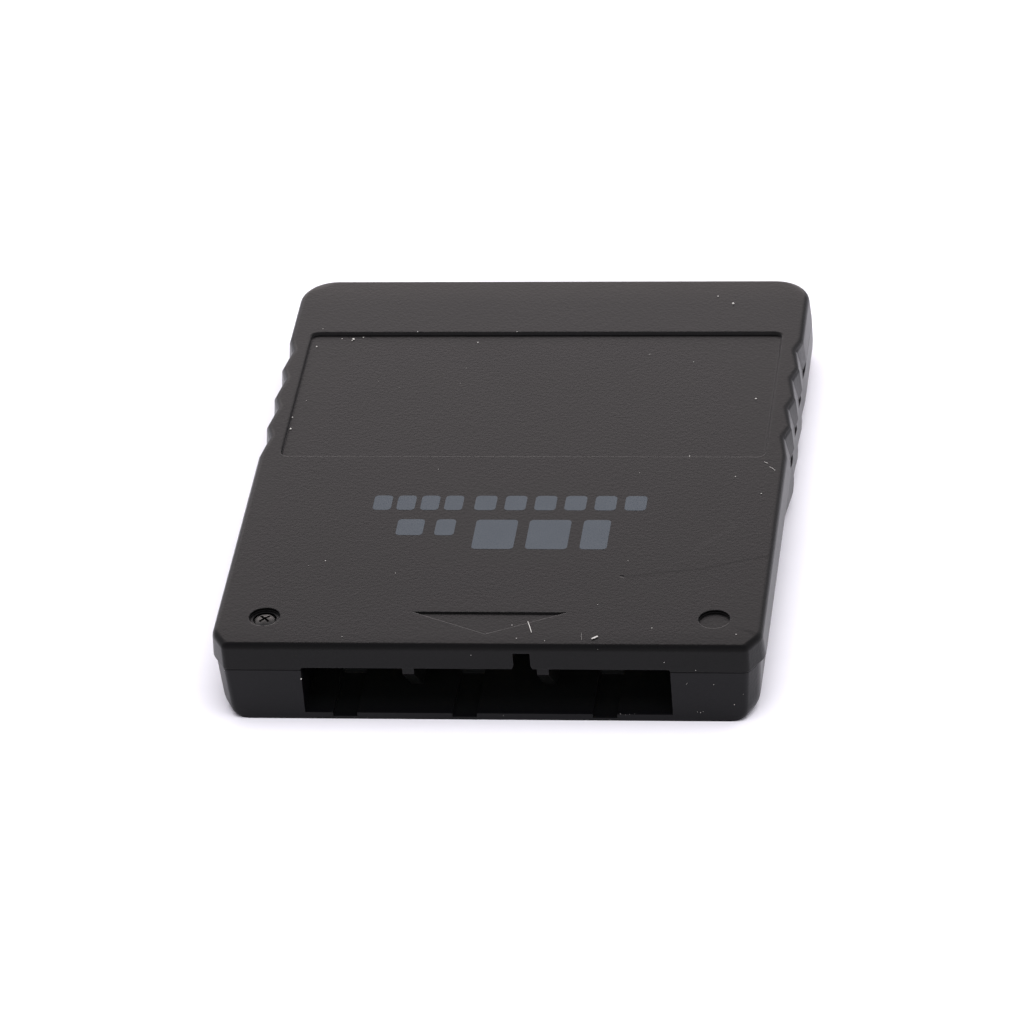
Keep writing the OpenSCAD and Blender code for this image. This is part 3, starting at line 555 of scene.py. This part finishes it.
def fibre(work, points, thickness):
    points = [Vector(p) * MM for p in points]
    lift = Vector((0, 0, FIBRE_LIFT * thickness * MM))
    ring = None
    for i, at in enumerate(points):
        ahead = points[min(i + 1, len(points) - 1)] - points[max(i - 1, 0)]
        radius = thickness * (FIBRE_TIP if i in (0, len(points) - 1) else 1) / 2 * MM
        made = bmesh.ops.create_circle(work, segments=FIBRE_SIDES, radius=radius, cap_ends=False)
        corners = made["verts"]
        lean = ahead.to_track_quat("Z", "Y").to_matrix()
        bmesh.ops.rotate(work, verts=corners, matrix=lean)
        bmesh.ops.translate(work, verts=corners, vec=at + lift)
        edges = list({e for c in corners for e in c.link_edges})
        if ring:
            bmesh.ops.bridge_loops(work, edges=ring + edges)
        else:
            bmesh.ops.contextual_create(work, geom=edges)
        ring = edges
    bmesh.ops.contextual_create(work, geom=ring)


lint_work = bmesh.new()
for points, thickness in fibres:
    fibre(lint_work, points, thickness)
bmesh.ops.recalc_face_normals(lint_work, faces=lint_work.faces)
new_piece("lint_fibres", lint_work, pale_dust)

# %% [markdown]
# ## Metal: the screw, the can and the contacts
#
# The screw is dull plated steel, turned on a lathe, so its scratches run in circles about its
# own axis. The resonator's can is pressed and tinned. The contacts are gold on the board, with
# long rub marks where the console's springs slide over them each time the card goes in.

# %% Metal finishes
STEEL_DARK = (0.035, 0.034, 0.033, 1)
STEEL_LIGHT = (0.17, 0.165, 0.155, 1)
TIN_DARK = (0.42, 0.42, 0.43, 1)
TIN_LIGHT = (0.62, 0.62, 0.63, 1)
GOLD_DARK = (0.60, 0.40, 0.14, 1)
GOLD_LIGHT = (0.82, 0.60, 0.26, 1)


def turned_steel(axis):
    finish = Finish("dull_plated_steel")
    place = place_in_mm(finish)
    from_axis = vector(finish, "SUBTRACT", place, (axis.x, axis.y, 0))
    flat = vector(finish, "MULTIPLY", from_axis, (1, 1, 0))
    radius = vector(finish, "LENGTH", flat, output="Value")
    radius_only = finish.node("ShaderNodeCombineXYZ", {}, (radius, 0.0, 0.0))
    rings = cloudy(finish, radius_only, 0.05, detail=3.0)
    stains = cloudy(finish, place, 0.6, detail=3.0)
    return close(
        finish,
        Base_Color=mixed(finish, stains, STEEL_DARK, STEEL_LIGHT),
        Metallic=1.0,
        Roughness=0.34 + stains * 0.2,
        Normal=relief(finish, rings, 0.004),
    )


def tinned_metal():
    finish = Finish("tinned_metal")
    patches = cloudy(finish, place_in_mm(finish), 0.5, detail=4.0)
    return close(
        finish,
        Base_Color=mixed(finish, patches, TIN_DARK, TIN_LIGHT),
        Metallic=1.0,
        Roughness=0.28 + patches * 0.2,
        Normal=relief(finish, patches, 0.01),
    )


def rubbed_gold():
    finish = Finish("rubbed_gold")
    lengthways = vector(finish, "MULTIPLY", place_in_mm(finish), (1, 0.05, 1))
    streaks = cloudy(finish, lengthways, 0.08)
    return close(
        finish,
        Base_Color=mixed(finish, streaks, GOLD_DARK, GOLD_LIGHT),
        Metallic=1.0,
        Roughness=0.2 + streaks * 0.2,
        Normal=relief(finish, streaks, 0.003),
    )


def middle_in_mm(node):
    low, high = (Vector(corner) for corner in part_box(node))
    return (low + high) / 2 / MM


def dress(node, material):
    solid = nodes[node]
    solid.data.materials.clear()
    solid.data.materials.append(material)
    return node


dress("screw", turned_steel(middle_in_mm("screw")))
dress("resonator", tinned_metal())
gold = rubbed_gold()
print("gold on", [dress(f"contact_{i}", gold) for i in range(1, 9)])

# %% [markdown]
# ## The circuit board
#
# The board is glass fibre under a green lacquer. Copper tracks run under the lacquer and stand
# a little proud. Every track could be drawn, but on a board this small a pattern does as well.
# The tracks are bands of one coordinate, and a random choice for each block of the board says
# whether they run across it, along it or not at all.

# %% The board's lacquer
TRACK_PITCH = 0.8
TRACK_EDGE, TRACK_CREST = 0.1, 0.4
TRACK_BLOCK = (4.0, 5.0, 10.0)
ACROSS_FROM, ALONG_BELOW = 0.5, 0.3
LACQUER = (0.006, 0.035, 0.018, 1)
LACQUER_ON_COPPER = (0.012, 0.075, 0.035, 1)


def lacquered_board():
    finish = Finish("green_lacquered_board")
    place = place_in_mm(finish)
    x, y, _ = split(finish, place)
    blocks = vector(finish, "SNAP", place, TRACK_BLOCK)
    choice = finish.node("ShaderNodeTexWhiteNoise", {}, {"Vector": blocks}, "Value")
    bands_x = (x * (math.tau / TRACK_PITCH)).math("SINE")
    bands_y = (y * (math.tau / TRACK_PITCH)).math("SINE")
    tracks = ramp_between(finish, bands_x, TRACK_EDGE, TRACK_CREST) * (choice > ACROSS_FROM)
    tracks_y = ramp_between(finish, bands_y, TRACK_EDGE, TRACK_CREST) * (choice < ALONG_BELOW)
    tracks = tracks + tracks_y
    weave = cloudy(finish, place, 0.3)
    return close(
        finish,
        Base_Color=mixed(finish, tracks.clamped(), LACQUER, LACQUER_ON_COPPER),
        Roughness=0.28 + weave * 0.12,
        Normal=relief(finish, tracks + weave * 0.2, 0.03),
    )


dress("circuit_board", lacquered_board())

# %% [markdown]
# ## The parts on the board
#
# A chip is black epoxy with a sandy skin, and its leads are tinned. Both are one solid, so the
# finish tells them apart by place: what lies outside the body's rectangle is metal. The small
# ceramic parts and resistors have metal ends in the same way. A part whose metal is only at its
# two ends gets a half size on the other axis that nothing reaches.

# %% Chip and small part finishes
EPOXY = (0.010, 0.010, 0.011, 1)
OCHRE = (0.36, 0.19, 0.045, 1)
CERAMIC = (0.30, 0.22, 0.13, 1)
GLAZE = (0.008, 0.008, 0.010, 1)
LEAD_DARK = (0.40, 0.40, 0.41, 1)
LEAD_LIGHT = (0.58, 0.58, 0.59, 1)
PAST_ALL = 9.0

# Node, finish name, half sizes of the body, its colour, its roughness, and size of its grain.
small_parts = [
    ("memory_chip", "memory_epoxy", (9.2, 6.1), EPOXY, 0.55, 0.12),
    ("controller_chip", "controller_epoxy", (5.0, 5.0), EPOXY, 0.55, 0.12),
    ("voltage_regulator", "regulator_epoxy", (3.4, 1.75), EPOXY, 0.6, 0.1),
    ("supply_capacitor", "ochre_moulding", (1.63, PAST_ALL), OCHRE, 0.5, 0.2),
]
for i in range(1, 5):
    small_parts.append((f"capacitor_{i}", f"fired_ceramic_{i}", (PAST_ALL, 0.5), CERAMIC, 0.6, 0.1))
    small_parts.append((f"resistor_{i}", f"black_glaze_{i}", (PAST_ALL, 0.5), GLAZE, 0.35, 0.1))


def part_finish(node, name, body_half, body_colour, body_rough, grain_size):
    finish = Finish(name)
    place = place_in_mm(finish)
    offset = vector(finish, "SUBTRACT", place, middle_in_mm(node))
    x, y, _ = split(finish, vector(finish, "ABSOLUTE", offset))
    metal = (x > body_half[0]).math("MAXIMUM", y > body_half[1])
    grain = cloudy(finish, place, grain_size, detail=3.0)
    lighter = tuple(min(1.0, v * 1.7) for v in body_colour[:3]) + (1,)
    body = mixed(finish, grain, body_colour, lighter)
    tin = mixed(finish, grain, LEAD_DARK, LEAD_LIGHT)
    return close(
        finish,
        Base_Color=mixed(finish, metal, body, tin),
        Metallic=metal,
        Roughness=body_rough + grain * 0.12 - metal * 0.25,
        Normal=relief(finish, grain, 0.02),
    )


for node, *look in small_parts:
    dress(node, part_finish(node, *look))

# %% [markdown]
# ## The studio
#
# The card lies on a white sweep, and its black plastic shows the studio more than itself. What
# each face mirrors decides how bright it is: the top mirrors what stands behind the card, a
# third of the way up, the front mirrors the floor, and the rounded front edge mirrors the
# ceiling. So the surroundings are a dim room with one bright backdrop straight behind. The
# rims turn away from it and go dark, and so does the front edge under the dim ceiling.
#
# A backdrop could be a lit sheet in the scene, but colours by direction in the world are easier
# to tune: one ramp over height for the room, one for the backdrop, and a mask that fades from
# one to the other by the angle away from straight behind. A soft light from above, a little to
# the right, keeps the floor white and is hidden from mirrors.

# %% Floor, surroundings and light
PAPER_DARK = (0.87, 0.855, 0.90, 1)
PAPER_LIGHT = (0.89, 0.875, 0.92, 1)
FLOOR_HALF = 3.0
STUDIO_STRENGTH = 4.5
ROOM = [(0.0, (0.17, 0.165, 0.175)), (0.5, (0.17, 0.165, 0.175)), (0.75, (0.12, 0.12, 0.13)),
        (1.0, (0.095, 0.095, 0.108))]
BACKDROP = [(0.0, (0.38, 0.35, 0.36)), (0.25, (0.68, 0.63, 0.63)), (0.42, (0.69, 0.635, 0.65)),
            (0.64, (0.09, 0.085, 0.09))]
BACKDROP_TURN = math.radians(-8)
BACKDROP_HALF, BACKDROP_FADED = math.radians(12), math.radians(27)
LAMP_SIZE, LAMP_POWER = 1.2, 17

floor_finish = Finish("white_sweep")
paper = cloudy(floor_finish, place_in_mm(floor_finish), 2.0)
floor_colour = mixed(floor_finish, paper, PAPER_DARK, PAPER_LIGHT)
floor_work = bmesh.new()
bmesh.ops.create_grid(floor_work, x_segments=4, y_segments=4, size=FLOOR_HALF)
floor_mesh = bpy.data.meshes.new("floor")
floor_work.to_mesh(floor_mesh)
floor_work.free()
floor_mesh.materials.append(close(floor_finish, Base_Color=floor_colour, Roughness=0.9))
floor = bpy.data.objects.new("floor", floor_mesh)
bpy.context.collection.objects.link(floor)

studio = Finish("soft_studio", bpy.data.worlds)
direction = studio.node("ShaderNodeTexCoord", output="Generated")
_, _, height = split(studio, direction)
level = vector(studio, "NORMALIZE", vector(studio, "MULTIPLY", direction, (1, 1, 0)))
straight = (math.sin(BACKDROP_TURN), math.cos(BACKDROP_TURN), 0)
towards = vector(studio, "DOT_PRODUCT", level, straight, output="Value")
screen = ramp_between(studio, towards, math.cos(BACKDROP_FADED), math.cos(BACKDROP_HALF))
room = studio.node("ShaderNodeValToRGB", {"stops": ROOM}, (height,))
backdrop = studio.node("ShaderNodeValToRGB", {"stops": BACKDROP}, (height,))
glow = {"Color": mixed(studio, screen, room, backdrop), "Strength": STUDIO_STRENGTH}
studio.node("ShaderNodeOutputWorld", {}, (studio.node("ShaderNodeBackground", {}, glow),))
bpy.context.scene.world = studio.material

lamp_data = bpy.data.lights.new("soft_overhead", "AREA")
lamp_data.size = LAMP_SIZE
lamp_data.energy = LAMP_POWER
lamp = bpy.data.objects.new("soft_overhead", lamp_data)
lamp.location = (0.18, -0.1, 1.15)
lamp.visible_glossy = False
bpy.context.collection.objects.link(lamp)
bpy.context.scene.view_settings.view_transform = "Standard"
print("studio with", len(studio.tree.nodes), "nodes, lamp of", LAMP_POWER, "watts")
